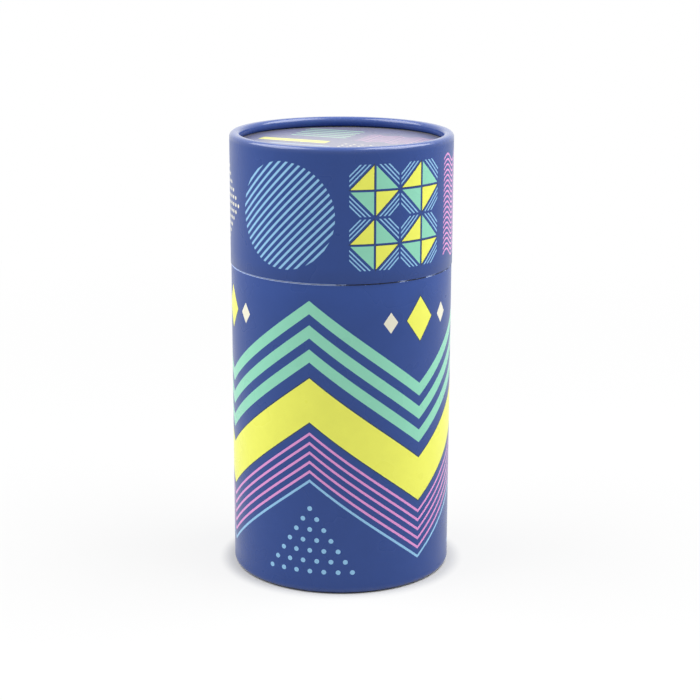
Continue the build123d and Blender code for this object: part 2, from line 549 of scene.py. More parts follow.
def diamond_quilt(along, up, size):
    """Four diamonds of yellow and mint quarters, each in a square of slanting sky-blue lines."""
    cells = 4
    cell = size / cells
    shapes = []
    for row in range(cells):
        for column in range(cells):
            middle_along = along - size / 2 + (column + 1 - column % 2) * cell
            middle_up = up - size / 2 + (row + 1 - row % 2) * cell
            side, rise = (1 if column % 2 else -1), (1 if row % 2 else -1)
            ink = YELLOW if (row + column) % 2 else MINT
            shapes += quilt_quarter(ink, middle_along, middle_up, side, rise, cell)
    return shapes


def wave_block(along, up, size):
    """A square of fine pink waves."""
    step, height, wave, swing, steps = 2.0 * MM, 0.75 * MM, size / 3, 1.7 * MM, 36
    left, right = along - size / 2, along + size / 2
    levels = [up + off for off in centred(int(size / step), step)]
    return [ripple(PINK, left, right, level, height, wave, swing, steps) for level in levels]


def dot_diamond(along, up, size):
    """A diamond of cream dots."""
    step, radius = 2.7 * MM, 0.75 * MM
    count = int(size / step / 2)
    shapes = []
    for row in range(-count, count + 1):
        reach = count - abs(row)
        for column in range(-reach, reach + 1):
            shapes.append(dot(CREAM, along + column * step, up + row * step, radius))
    return shapes


def chevron_row(along, up, size):
    """Nested mint chevrons that point to the right."""
    count, step, width, point = 5, 7.2 * MM, 3.1 * MM, 9.0 * MM
    low, high = up - size / 2, up + size / 2
    shapes = []
    for off in centred(count, step):
        left = along + off - (width + point) / 2
        right = left + width
        outline = [(left, low), (right, low), (right + point, up), (right, high), (left, high)]
        shapes.append((MINT, outline + [(left + point, up)]))
    return shapes


def scale_rows(along, up, size):
    """Rows of yellow half discs, each row set half a step over."""
    rows, longest, sides = 4, 3, 18
    radius, gap, foot = size / 2 / longest, 0.7 * MM, 0.8 * MM
    shapes = []
    for row in range(rows):
        level = up - size / 2 + row * size / rows + foot
        for off in centred(longest - row % 2, 2 * radius):
            shapes.append((YELLOW, arc(along + off, level, radius - gap, 0, math.pi, sides)))
    return shapes


def lid_shapes(sizes):
    """The lid's pattern: six motifs round it."""
    motifs = (chevron_row, dot_diamond, hatched_disc, diamond_quilt, wave_block, scale_rows)
    below = 0.6 * MM  # the motifs stand this far below the middle of the wall
    level = (lid_shell.edge + lid_shell.top) / 2 - below
    shapes = []
    for motif, along in zip(motifs, centred(len(motifs), lid_shell.girth / len(motifs))):
        shapes.extend(with_traps(motif(along, level, sizes.tile_size), sizes.trap))
    return shapes


def disc_shapes(sizes):
    """The lid disc's pattern: slanting stripes, fine waves, a yellow bar and rows of dots."""
    slant = math.radians(-24)
    wave, swing, steps = 9.0 * MM, 1.2 * MM, 48
    dot_rows, dot_columns, dot_step, dot_radius = 5, 8, 3.4 * MM, 0.6 * MM
    dots_left, dots_top = 4.0 * MM, -5.0 * MM
    shapes = []

    def stripes(ink, count, first, last, level, step, height):
        """Level stripes between two shares of the disc's radius, with their heights in millimetres."""
        for k in range(count):
            ends = first * disc_radius, last * disc_radius
            place = (level + step * k) * MM
            if ink == PINK:
                shapes.append(ripple(ink, *ends, place, height * MM, wave, swing, steps))
            else:
                shapes.append(bar(ink, *ends, place, height * MM))

    stripes(MINT, 5, -0.62, -0.05, 9.0, 4.4, 1.5)
    stripes(PINK, 6, 0.08, 0.80, 5.0, 3.0, 0.7)
    stripes(YELLOW, 1, -0.78, -0.10, -4.0, 0.0, 5.5)
    for row in range(dot_rows):
        for column in range(dot_columns):
            along, up = dots_left + dot_step * column, dots_top - dot_step * row
            shapes.append(dot(CREAM, along, up, dot_radius))
    stripes(SKY, 4, -0.58, 0.02, -13.0, -4.0, 1.1)
    turn = Matrix.Rotation(slant, 2)
    trapped = with_traps(shapes, sizes.trap)
    return [(ink, [tuple(turn @ Vector(place)) for place in points]) for ink, points in trapped]


# Meshes


def cut_flat(lines, outlines):
    """Cuts a flat sheet along lines and outlines, given in metres.

    Returns the points, and the triangles with their corners and the last outline round each."""
    places, edges, faces = [], [], []
    for line in lines:
        start = len(places)
        places.extend(Vector(p) / MM for p in line)
        edges.extend((start + k, start + k + 1) for k in range(len(line) - 1))
    for outline in outlines:
        start = len(places)
        places.extend(Vector(p) / MM for p in anticlockwise(outline))
        faces.append(list(range(start, start + len(outline))))
    nearness = 1e-4  # in millimetres
    found, _, triangles, _, _, holders = delaunay_2d_cdt(places, edges, faces, 0, nearness, True)
    tops = [max(held) if held else None for held in holders]
    return [p * MM for p in found], list(zip(triangles, tops))


class SheetMesh:
    """A closed mesh put together from faces whose corners carry a flat place for the bake map."""

    def __init__(self):
        self.mesh = bmesh.new()
        self.map = self.mesh.loops.layers.uv.new("OFBake")
        self.points = {}

    def vertex(self, place):
        """The vertex at a place, made if it isn't there yet."""
        key = tuple(round(value / MM, 4) for value in place)
        if key not in self.points:
            self.points[key] = self.mesh.verts.new(place)
        return self.points[key]

    def face(self, corners, slot=0):
        """Adds a face. Each corner is a place in space and a place on the flat map."""
        vertices = [self.vertex(place) for place, _ in corners]
        if len(set(vertices)) < 3:
            return
        kept = [k for k, vertex in enumerate(vertices) if vertex is not vertices[k - 1]]
        made = self.mesh.faces.new([vertices[k] for k in kept])
        made.material_index = slot
        made.smooth = True
        for loop, k in zip(made.loops, kept):
            loop[self.map].uv = corners[k][1]

    def to_object(self, name, materials):
        """Closes the mesh and puts it into the scene as an object."""
        bmesh.ops.remove_doubles(self.mesh, verts=self.mesh.verts, dist=SAME_PLACE)
        bmesh.ops.recalc_face_normals(self.mesh, faces=self.mesh.faces)
        data = bpy.data.meshes.new(name)
        self.mesh.to_mesh(data)
        self.mesh.free()
        data.set_sharp_from_angle(angle=SHARP_ANGLE)
        for material in materials:
            data.materials.append(material)
        return linked(name, data)


def linked(name, data):
    """A new object with its data, in the scene."""
    made = bpy.data.objects.new(name, data)
    bpy.context.scene.collection.objects.link(made)
    return made


def strip_places(girth, shape):
    """Places where a sheet is cut into strips, with extra ones where the overlap climbs and ends."""
    half_lap = shape.lap_width / 2
    places = {-girth / 2 + girth * k / shape.turn_strips for k in range(shape.turn_strips + 1)}
    for step in range(LAP_STEPS + 1):
        places.add(girth / 2 - half_lap - shape.lap_rise * step / LAP_STEPS)
    places.add(-girth / 2 + half_lap)
    places.add(-girth / 2 + half_lap + lap_drop)
    return spaced(sorted(places), lap_drop / 2)


def lap_lift(along, girth, shape):
    """How far the overlap lifts a sheet at a place along it, as a share of the paper's thickness."""
    from_back = along - girth / 2 if along > 0 else along + girth / 2
    half_lap = shape.lap_width / 2
    if from_back < -half_lap - shape.lap_rise or from_back > half_lap + lap_drop / 2:
        return 0.0
    if from_back > -half_lap:
        return 1.0
    share = (from_back + half_lap + shape.lap_rise) / shape.lap_rise
    return share * share * (3 - 2 * share)


def printed_sheet(name, shell, shapes, materials, shape):
    """A printed sheet wrapped round a tube and rolled in over its end, as a closed mesh, with painted
    shade in dark ink at the roll's end.
    """
    girth, edge, way = shell.girth, shell.edge, shell.way
    outer = rolled_profile(shell, 0, shape.sheet_gap, shape, shape.trim_depth)
    inner = rolled_profile(shell, paper, shape.sheet_gap, shape)
    lengths = path_lengths(outer)
    whole = lengths[-1]
    strips = strip_places(girth, shape)
    roll_start = shell.radius - shell.roll(shape)
    flush_z = shell.top + way * (shell.roll(shape) + shape.lap_margin)
    lap_height = abs(edge - flush_z)
    lap_end = -girth / 2 + shape.lap_width / 2

    def in_space(along, distance, height):
        """The place in space of a place along the sheet, at a radius and a height."""
        angle = along / shell.radius - QUARTER_TURN
        if way * (height - flush_z) > 0 and distance > roll_start:
            distance += paper * lap_lift(along, girth, shape)
        return distance * math.cos(angle), distance * math.sin(angle), height

    def outer_corner(place):
        """A corner on the printed side, from a place on the flat sheet."""
        along, down = place
        flat = (along / girth + 0.5, OUTER_MAP[0] + OUTER_MAP[1] * down / whole)
        return in_space(along, *along_path(outer, lengths, down)), flat

    def inner_corner(along, row):
        """A corner on the glued side, at a row of the inner profile."""
        flat = (along / girth + 0.5, INNER_MAP[0] + INNER_MAP[1] * lengths[row] / whole)
        return in_space(along, *inner[row]), flat

    lines = [[(along, 0), (along, whole)] for along in strips]
    lines += [[(strips[0], down), (strips[-1], down)] for down in [*lengths, lap_height]]
    outlines, inks = [], []
    for ink, points in shapes:
        reach = [along for along, _ in points]
        for shift in (0, girth, -girth):
            if min(reach) + shift < girth / 2 and max(reach) + shift > -girth / 2:
                outlines.append([(along + shift, way * (edge - up)) for along, up in points])
                inks.append(ink)
    places, triangles = cut_flat(lines, outlines)

    sheet = SheetMesh()
    for corners, held in triangles:
        middle = sum((places[c] for c in corners), Vector((0, 0))) / 3
        if abs(middle.x) > girth / 2 or not 0 < middle.y < whole:
            continue
        slot = GROUND if held is None else inks[held]
        if middle.y < lengths[1]:
            slot = CUT_EDGE
        # painted shade: the tuck's last row beside the disc takes the dark trap ink
        elif middle.y > lengths[-2]:
            slot = OVERPRINT_AND_SHADE
        elif lap_end < middle.x < lap_end + lap_drop and middle.y < lap_height:
            slot = PAPER
        sheet.face([outer_corner(places[c]) for c in corners], slot)
    final = len(inner) - 1
    for left, right in zip(strips, strips[1:]):
        for row in range(final):
            rows = ((left, row), (right, row), (right, row + 1), (left, row + 1))
            sheet.face([inner_corner(*corner) for corner in rows], PAPER)
        # the rolled end's face takes the dark trap ink as painted shade
        for down, row, slot in ((0, 0, CUT_EDGE), (whole, final, OVERPRINT_AND_SHADE)):
            corners = [outer_corner((left, down)), outer_corner((right, down))]
            corners += [inner_corner(right, row), inner_corner(left, row)]
            sheet.face([(place, (flat[0], EDGE_MAP)) for place, flat in corners], slot)
    return sheet.to_object(name, materials)


def printed_disc(name, node, faces_up, shapes, materials, shape):
    """A printed paper dish in place of a CAD node, over a disc's face and edge, as a closed mesh."""
    radius, low, high = round_size(node)
    face, rim_end, under = (high, low, high - paper) if faces_up else (low, high, low + paper)
    rim = arc(0, 0, radius, 0, FULL_TURN, shape.turn_strips)[:-1]
    places, triangles = cut_flat([rim + rim[:1]], [points for _, points in shapes])
    map_along, map_up, map_radius = FACE_MAP
    dish = SheetMesh()
    for corners, held in triangles:
        middle = sum((places[c] for c in corners), Vector((0, 0))) / 3
        if middle.length > radius:
            continue
        made = []
        for x, y in (places[c] for c in corners):
            flat = (map_along + map_radius * x / radius, map_up + map_radius * y / radius)
            made.append(((x, y, face), flat))
        dish.face(made, GROUND if held is None else shapes[held][0])
    bore = radius - paper
    section = [(radius, face), (radius, rim_end), (bore, rim_end), (bore, under), (0, under)]
    lengths = path_lengths(section)
    on_rim = [p for p in places if abs(p.length - radius) < 0.001 * MM]
    angles = sorted({round(math.atan2(p.y, p.x), 7) for p in on_rim})
    map_along, map_up, map_width, map_height = RIM_MAP
    for left, right in zip(angles, angles[1:] + [angles[0] + FULL_TURN]):
        for row in range(len(section) - 1):
            made = []
            for angle, step in ((left, row), (right, row), (right, row + 1), (left, row + 1)):
                distance, height = section[step]
                share = lengths[step] / lengths[-1]
                flat = (map_along + map_width * angle / FULL_TURN, map_up + map_height * share)
                made.append(((distance * math.cos(angle), distance * math.sin(angle), height), flat))
            dish.face(made, PAPER)
    return dish.to_object(name, materials)


def turned_piece(name, section, material, shape, wander=None):
    """A closed outline of radii and heights turned about the axis.

    Wander gives the radius and height of a point, from its angle and its own radius and height."""
    made = SheetMesh()
    lengths = path_lengths(section + section[:1])
    strips, count = shape.turn_strips, len(section)
    for k in range(strips):
        for row in range(count):
            if not section[row][0] and not section[(row + 1) % count][0]:
                continue
            corners = []
            for turn, step in ((k, row), (k + 1, row), (k + 1, row + 1), (k, row + 1)):
                angle = FULL_TURN * (turn % strips) / strips
                distance, height = section[step % count]
                if wander:
                    distance, height = wander(angle, distance, height)
                place = (distance * math.sin(angle), distance * math.cos(angle), height)
                corners.append((place, (turn / strips, lengths[step] / lengths[-1])))
            made.face(corners)
    return made.to_object(name, [material])


# Shader nodes


def add_node(tree, kind, inputs=None, **settings):
    """Adds a shader node with its settings. Each input takes a value or the socket that feeds it."""
    made = tree.nodes.new(kind)
    for key, value in settings.items():
        setattr(made, key, value)
    for key, value in (inputs or {}).items():
        if isinstance(value, bpy.types.NodeSocket):
            tree.links.new(value, made.inputs[key])
        else:
            made.inputs[key].default_value = value
    return made


def maths(tree, operation, *operands, clamp=False):
    """The result of a maths node. Each operand is a socket or a number."""
    inputs = dict(enumerate(operands))
    return add_node(tree, "ShaderNodeMath", inputs, operation=operation, use_clamp=clamp).outputs[0]


def plus(tree, first, second):
    """The sum of two sockets or numbers."""
    return maths(tree, "ADD", first, second)


def times(tree, first, *others):
    """The product of sockets or numbers."""
    for other in others:
        first = maths(tree, "MULTIPLY", first, other)
    return first


def blend(tree, first, second, share):
    """A share of the first value and the rest of the second."""
    return plus(tree, times(tree, first, share), times(tree, second, 1 - share))


def remap(tree, value, span, to_span=(0, 1)):
    """A value moved from one span to another, with soft ends."""
    inputs = {"Value": value, "From Min": span[0], "From Max": span[1]}
    inputs.update({"To Min": to_span[0], "To Max": to_span[1]})
    made = add_node(tree, "ShaderNodeMapRange", inputs, interpolation_type="SMOOTHSTEP")
    return made.outputs["Result"]


def mix_colours(tree, share, first, second):
    """A mix of two colours. Each operand is a socket or a value."""
    inputs = {0: share, 6: first, 7: second}
    return add_node(tree, "ShaderNodeMix", inputs, data_type="RGBA").outputs[2]


def object_place(tree):
    """The coordinates that stay with the piece."""
    return add_node(tree, "ShaderNodeTexCoord").outputs["Object"]


def object_part(tree, axis):
    """One of the coordinates that stay with the piece."""
    return add_node(tree, "ShaderNodeSeparateXYZ", {"Vector": object_place(tree)}).outputs[axis]


def level_part(tree, operation, output):
    """A vector operation on the level part of the coordinates that stay with the piece."""
    inputs = {0: object_place(tree), 1: (1, 1, 0)}
    level = add_node(tree, "ShaderNodeVectorMath", inputs, operation="MULTIPLY").outputs["Vector"]
    return add_node(tree, "ShaderNodeVectorMath", {0: level}, operation=operation).outputs[output]


def noise(tree, scale, detail, roughness, place=None):
    """A noise value between 0 and 1, laid on the piece if no other place is given."""
    place = object_place(tree) if place is None else place
    inputs = {"Vector": place, "Scale": scale, "Detail": detail, "Roughness": roughness}
    return add_node(tree, "ShaderNodeTexNoise", inputs).outputs["Fac"]


# Shader node groups: each maker takes the group's tree and inputs, and returns its named outputs


def paper_grain(tree, given):
    """Fibres and soft unevenness of paper: a tone, a fine height and a slow mottle."""
    fine = noise(tree, scale=2600, detail=4, roughness=0.65)
    felt = noise(tree, scale=420, detail=3, roughness=0.5)
    upright = {"Vector": object_place(tree), "Scale": (1.0, 1.0, 0.35)}
    stretched = add_node(tree, "ShaderNodeMapping", upright).outputs["Vector"]
    fibres = noise(tree, scale=1500, detail=3, roughness=0.7, place=stretched)
    return {
        "Tone": blend(tree, fine, fibres, 0.5),
        "Height": blend(tree, fine, felt, 0.35),
        "Mottle": noise(tree, scale=65, detail=2, roughness=0.5),
    }


def ink_lay(tree, given):
    """Printed ink that lies a little unevenly on its paper."""
    cloud = noise(tree, scale=180, detail=4, roughness=0.6)
    speck = noise(tree, scale=3400, detail=2, roughness=0.5)
    swing = maths(tree, "SUBTRACT", blend(tree, cloud, speck, 0.6), 0.5)
    factor = plus(tree, times(tree, swing, given["Unevenness"]), 1.0)
    inputs = {0: given["Ink"], "Scale": factor}
    scaled = add_node(tree, "ShaderNodeVectorMath", inputs, operation="SCALE")
    return {"Colour": scaled.outputs["Vector"]}


def rolled_bend(tree, given):
    """How near the paper is to a rolled bend at a given height, with its scuffs, and a painted shade on
    the paper nearest the bend's level.
    """
    away = maths(tree, "ABSOLUTE", maths(tree, "SUBTRACT", object_part(tree, "Z"), given["Level"]))
    share = maths(tree, "DIVIDE", away, given["Reach"])
    near = maths(tree, "SUBTRACT", 1.0, share, clamp=True)
    grit = remap(tree, noise(tree, scale=900, detail=5, roughness=0.7), (0.5, 0.72))
    patches = remap(tree, noise(tree, scale=60, detail=2, roughness=0.5), (0.42, 0.62))
    # painted shade: a band on the paper nearest the bend's level, where the box's foot meets the floor
    lowest = remap(tree, near, (0.74, 0.90))
    return {
        "Near": near,
        "Scuffs": times(tree, near, grit, patches, given["Wear"]),
        "Soil": times(tree, lowest, given["Soiling"]),
    }


def film_reach(tree, given):
    """A mask of the film on a disc, which ends before the disc's rim."""
    inside = maths(tree, "SUBTRACT", given["Rim"], level_part(tree, "LENGTH", "Value"))
    share = maths(tree, "DIVIDE", inside, given["Margin"])
    return {"Mask": remap(tree, share, (0.8, 1.2))}


def roll_gathers(tree, given):
    """Fine creases that run across a roll, where the sheet is drawn in."""
    facing = level_part(tree, "NORMALIZE", "Vector")
    return {"Height": noise(tree, scale=42, detail=2, roughness=0.6, place=facing)}


def board_plies(tree, given):
    """The plies of a wound board: fine rings on its cut end and a slanting seam on its face."""
    shake = times(tree, noise(tree, scale=300, detail=3, roughness=0.6), 0.3 * MM)
    distance = plus(tree, level_part(tree, "LENGTH", "Value"), shake)
    rings = maths(tree, "PINGPONG", maths(tree, "DIVIDE", distance, given["Pitch"]), 0.5)
    angle = maths(tree, "ARCTAN2", object_part(tree, "Y"), object_part(tree, "X"))
    climb = maths(tree, "DIVIDE", object_part(tree, "Z"), given["Seam Pitch"])
    winding = plus(tree, climb, maths(tree, "DIVIDE", angle, FULL_TURN))
    seam = remap(tree, maths(tree, "PINGPONG", winding, 0.5), (0.0, 0.006), (1, 0))
    return {"Rings": times(tree, rings, 2.0), "Seam": seam}


def cut_edge_wear_and_shade(tree, given):
    """A mask of paper fibre along a cut edge, heavy on the box's left and light past its middle; where
    it is light, the edge's darkened ink shows as painted shade in the seam.
    """
    side = object_part(tree, "X")
    # more fibre on the box's left, less past its middle, where the darkened ink shows as painted shade
    left = remap(tree, side, (-8.0 * MM, 6.0 * MM), (0.30, -0.10))
    far_right = remap(tree, side, (10.0 * MM, 24.0 * MM), (0, 0.09))
    grit = noise(tree, scale=380, detail=4, roughness=0.7)
    worn = plus(tree, grit, plus(tree, left, far_right))
    return {"Mask": remap(tree, worn, (0.48, 0.60))}


GROUPS = {
    "Paper grain": (paper_grain, {}),
    "Ink lay": (ink_lay, {"Ink": (0.5, 0.5, 0.5, 1), "Unevenness": 0.1}),
    "Rolled bend": (rolled_bend, {"Level": 0.0, "Reach": MM, "Wear": 0.3, "Soiling": 0.0}),
    "Film reach": (film_reach, {"Rim": 40.0 * MM, "Margin": MM}),
    "Roll gathers": (roll_gathers, {}),
    "Board plies": (board_plies, {"Pitch": 0.35 * MM, "Seam Pitch": 90.0 * MM}),
    "Cut edge wear": (cut_edge_wear_and_shade, {}),
}


def shader_group(name):
    """A shader node group with its named inputs and outputs, built on first use."""
    if name in bpy.data.node_groups:
        return bpy.data.node_groups[name]
    maker, inputs = GROUPS[name]
    group = bpy.data.node_groups.new(name, "ShaderNodeTree")
    for socket, default in inputs.items():
        kind = "NodeSocketColor" if isinstance(default, tuple) else "NodeSocketFloat"
        made = group.interface.new_socket(name=socket, in_out="INPUT", socket_type=kind)
        made.default_value = default
    outputs = maker(group, add_node(group, "NodeGroupInput").outputs)
    for socket in outputs:
        kind = "NodeSocketColor" if socket == "Colour" else "NodeSocketFloat"
        group.interface.new_socket(name=socket, in_out="OUTPUT", socket_type=kind)
    add_node(group, "NodeGroupOutput", outputs)
    return group


def placed_group(tree, name, inputs=None):
    """Places a shader node group in a material, with its inputs. Returns its outputs."""
    return add_node(tree, "ShaderNodeGroup", inputs, node_tree=shader_group(name)).outputs


# Materials


def opaque(colour, factor=1.0):
    """A colour times a factor, for a socket that also takes opacity."""
    return (*(min(value * factor, 1) for value in colour), 1)


def surface(tree, inputs, height, strength, depth):
    """Gives a material its Principled shader, with a bump from a height, of a strength and a depth."""
    bump = add_node(tree, "ShaderNodeBump", {"Height": height, "Strength": strength, "Distance": depth})
    shader = add_node(tree, "ShaderNodeBsdfPrincipled", {**inputs, "Normal": bump.outputs["Normal"]})
    add_node(tree, "ShaderNodeOutputMaterial", {"Surface": shader.outputs["BSDF"]})


def ink_material(tree, ink, bare, bend_level, soiling, film):
    """Varnished ink on white paper, polished and a little rubbed at the bend, or under a film, and
    darkened near the bend's level as painted shade where a strength for it is given.
    """
    painted_shade_tone, polish, crease_height = 0.3, 0.9, 0.6
    grain = placed_group(tree, "Paper grain")
    gathers = placed_group(tree, "Roll gathers")
    lay = placed_group(tree, "Ink lay", {"Ink": opaque(ink), "Unevenness": 0.16})
    worn = {"Level": bend_level, "Reach": 2.4 * MM, "Wear": 0.06, "Soiling": soiling}
    bend = placed_group(tree, "Rolled bend", worn)
    scuffed = mix_colours(tree, bend["Scuffs"], lay["Colour"], opaque(bare))
    gloss = remap(tree, grain["Mottle"], NOISE_SPAN, VARNISH_ROUGHNESS)
    inputs = {
        # painted shade: the ink darkened to 0.3 of its colour in the band nearest the bend's level
        "Base Color": mix_colours(tree, bend["Soil"], scuffed, opaque(ink, painted_shade_tone)),
        "Roughness": plus(tree, gloss, bend["Scuffs"]),
        "Specular IOR Level": 0.22,
    }
    if film:
        reach = placed_group(tree, "Film reach", {"Rim": disc_radius, "Margin": 1.5 * MM})
        inputs.update({"Coat Weight": reach["Mask"], **FILM})
    else:
        inputs.update({"Coat Weight": times(tree, bend["Near"], polish), "Coat Roughness": 0.1})
    creases = times(tree, gathers["Height"], bend["Near"], crease_height)
    height = plus(tree, grain["Height"], creases)
    surface(tree, inputs, height, strength=0.18, depth=GRAIN_DEPTH)


def paper_material(tree, colour, seam_pitch=None):
    """Uncoated paper with fibres, a little uneven in tone, with a winding seam if it has a pitch."""
    low_tone, seam_tone, seam_share = 0.88, 0.55, 0.35
    grain = placed_group(tree, "Paper grain")
    tone = remap(tree, grain["Tone"], NOISE_SPAN)
    mixed = mix_colours(tree, tone, opaque(colour, low_tone), opaque(colour))
    height = grain["Height"]
    if seam_pitch:
        seam = placed_group(tree, "Board plies", {"Seam Pitch": seam_pitch})["Seam"]
        mixed = mix_colours(tree, times(tree, seam, seam_share), mixed, opaque(colour, seam_tone))
        height = maths(tree, "SUBTRACT", height, seam)
    roughness = remap(tree, grain["Mottle"], NOISE_SPAN, PAPER_ROUGHNESS)
    inputs = {"Base Color": mixed, "Roughness": roughness, "Specular IOR Level": 0.3}
    surface(tree, inputs, height, strength=0.35, depth=GRAIN_DEPTH)


def cut_edge_material(tree, ink, frayed):
    """The trimmed edge of a printed sheet: ink darkened to half as painted shade in the seam, with
    tinted paper fibre showing where it is frayed.
    """
    wear_and_shade = placed_group(tree, "Cut edge wear")["Mask"]
    # painted shade: the edge's ink at half its colour, dark where the seam's gap is in shade
    lay = placed_group(tree, "Ink lay", {"Ink": opaque(ink, 0.5), "Unevenness": 0.3})
    inputs = {
        "Base Color": mix_colours(tree, wear_and_shade, lay["Colour"], opaque(frayed)),
        "Roughness": remap(tree, wear_and_shade, (0, 1), CUT_EDGE_ROUGHNESS),
        "Specular IOR Level": 0.3,
    }
    height = placed_group(tree, "Paper grain")["Height"]
    surface(tree, inputs, height, strength=0.4, depth=GRAIN_DEPTH)


def board_material(tree, colour):
    """Wound grey-brown board with fibres, plies on its cut end and a winding seam."""
    high_tone, ring_tone, ring_share = 1.25, 0.62, 0.55
    grain = placed_group(tree, "Paper grain")
    plies = placed_group(tree, "Board plies", {"Pitch": 0.35 * MM, "Seam Pitch": BOARD_PITCH})
    tone = remap(tree, grain["Tone"], NOISE_SPAN)
    fibres = mix_colours(tree, tone, opaque(colour), opaque(colour, high_tone))
    rings = times(tree, remap(tree, plies["Rings"], (0.0, 0.35), (1, 0)), ring_share)
    inputs = {
        "Base Color": mix_colours(tree, rings, fibres, opaque(colour, ring_tone)),
        "Roughness": remap(tree, grain["Mottle"], NOISE_SPAN, BOARD_ROUGHNESS),
        "Specular IOR Level": 0.25,
    }
    height = maths(tree, "SUBTRACT", grain["Height"], plies["Seam"])
    surface(tree, inputs, height, strength=0.5, depth=BOARD_GRAIN_DEPTH)


def kept_material(name, maker, *values):
    """A material that several pieces share, built on first use."""
    if name in bpy.data.materials:
        return bpy.data.materials[name]
    material = bpy.data.materials.new(name)
    material.use_nodes = True
    material.node_tree.nodes.clear()
    maker(material.node_tree, *values)
    return material


def sheet_stock(prefix, inks, bend_level, soiling=0.0, film=False):
    """The materials of a printed sheet, in the order of its slots."""
    made = []
    for ink in STOCK_NAMES:
        name = f"{prefix}_{ink}"
        if ink == "cut_edge":
            made.append(kept_material(name, cut_edge_material, inks.ground, inks.frayed))
        elif ink == "paper":
            made.append(kept_material(name, paper_material, inks.paper))
        else:
            values = (getattr(inks, ink), inks.paper, bend_level, soiling, film)
            made.append(kept_material(name, ink_material, *values))
    return made


def body_stock(inks):
    """The materials of the body's printed sheet and of the plain sheet on its base, with painted shade
    along the foot of the roll.
    """
    return sheet_stock("body", inks, paper, soiling=0.8)


def settle(piece, body, node):
    """Puts a finished piece on its body in place of a CAD node."""
    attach(piece, body)
    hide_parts(node)


# Operators: one for each piece or group of like pieces


class GIFTTUBE_OT_body_sheet(bpy.types.Operator):
    """Makes the body's printed sheet, wrapped and rolled in at the base."""

    bl_idname = "gifttube.body_sheet"
    bl_label = "Body Sheet"

    def execute(self, context):
        scene = context.scene
        stock = body_stock(scene.tube_inks)
        pattern = body_shapes(scene.tube_print)
        piece = printed_sheet("body_printed_sheet", body_shell, pattern, stock, scene.tube_shape)
        settle(piece, "box", "body_wrap")
        return {"FINISHED"}


class GIFTTUBE_OT_lid_sheet(bpy.types.Operator):
    """Makes the lid's printed sheet, wrapped and rolled in at the crown."""

    bl_idname = "gifttube.lid_sheet"
    bl_label = "Lid Sheet"

    def execute(self, context):
        scene = context.scene
        stock = sheet_stock("lid", scene.tube_inks, crown - paper)
        pattern = lid_shapes(scene.tube_print)
        piece = printed_sheet("lid_printed_sheet", lid_shell, pattern, stock, scene.tube_shape)
        settle(piece, "lid", "lid_wrap")
        return {"FINISHED"}


class GIFTTUBE_OT_disc_sheets(bpy.types.Operator):
    """Makes the printed paper dishes on the lid's disc and under the base disc."""

    bl_idname = "gifttube.disc_sheets"
    bl_label = "Disc Sheets"

    def execute(self, context):
        scene = context.scene
        inks, shape = scene.tube_inks, scene.tube_shape
        stock = sheet_stock("disc", inks, crown, film=True)
        pattern = disc_shapes(scene.tube_print)
        lid_piece = printed_disc("lid_disc_printed_sheet", "lid_facing", True, pattern, stock, shape)
        settle(lid_piece, "lid", "lid_facing")
        base_piece = printed_disc("base_disc_sheet", "base_facing", False, [], body_stock(inks), shape)
        settle(base_piece, "box", "base_facing")
        return {"FINISHED"}


class GIFTTUBE_OT_boards(bpy.types.Operator):
    """Makes the wound board tubes and the board discs."""

    bl_idname = "gifttube.boards"
    bl_label = "Boards"

    def execute(self, context):
        shape = context.scene.tube_shape
        board = kept_material("wound_board", board_material, context.scene.tube_inks.board)
        for name, body, node, shell in (
            ("body_board_tube", "box", "body_tube", body_shell),
            ("lid_board_tube", "lid", "lid_tube", lid_shell),
        ):
            outer = rolled_profile(shell, paper, shape.board_gap, shape)
            inner = rolled_profile(shell, paper + shell.board, shape.board_gap, shape)
            settle(turned_piece(name, outer + inner[::-1], board, shape), body, node)
        for name, body, node in (
            ("base_board_disc", "box", "base_disc"),
            ("lid_board_disc", "lid", "lid_disc"),
        ):
            radius, low, high = round_size(node)
            middle = radius - BOARD_ROUND
            section = [(0, low), *arc(middle, low + BOARD_ROUND, BOARD_ROUND, -QUARTER_TURN, 0, 4)]
            section += [*arc(middle, high - BOARD_ROUND, BOARD_ROUND, 0, QUARTER_TURN, 4), (0, high)]
            settle(turned_piece(name, section, board, shape), body, node)
        return {"FINISHED"}


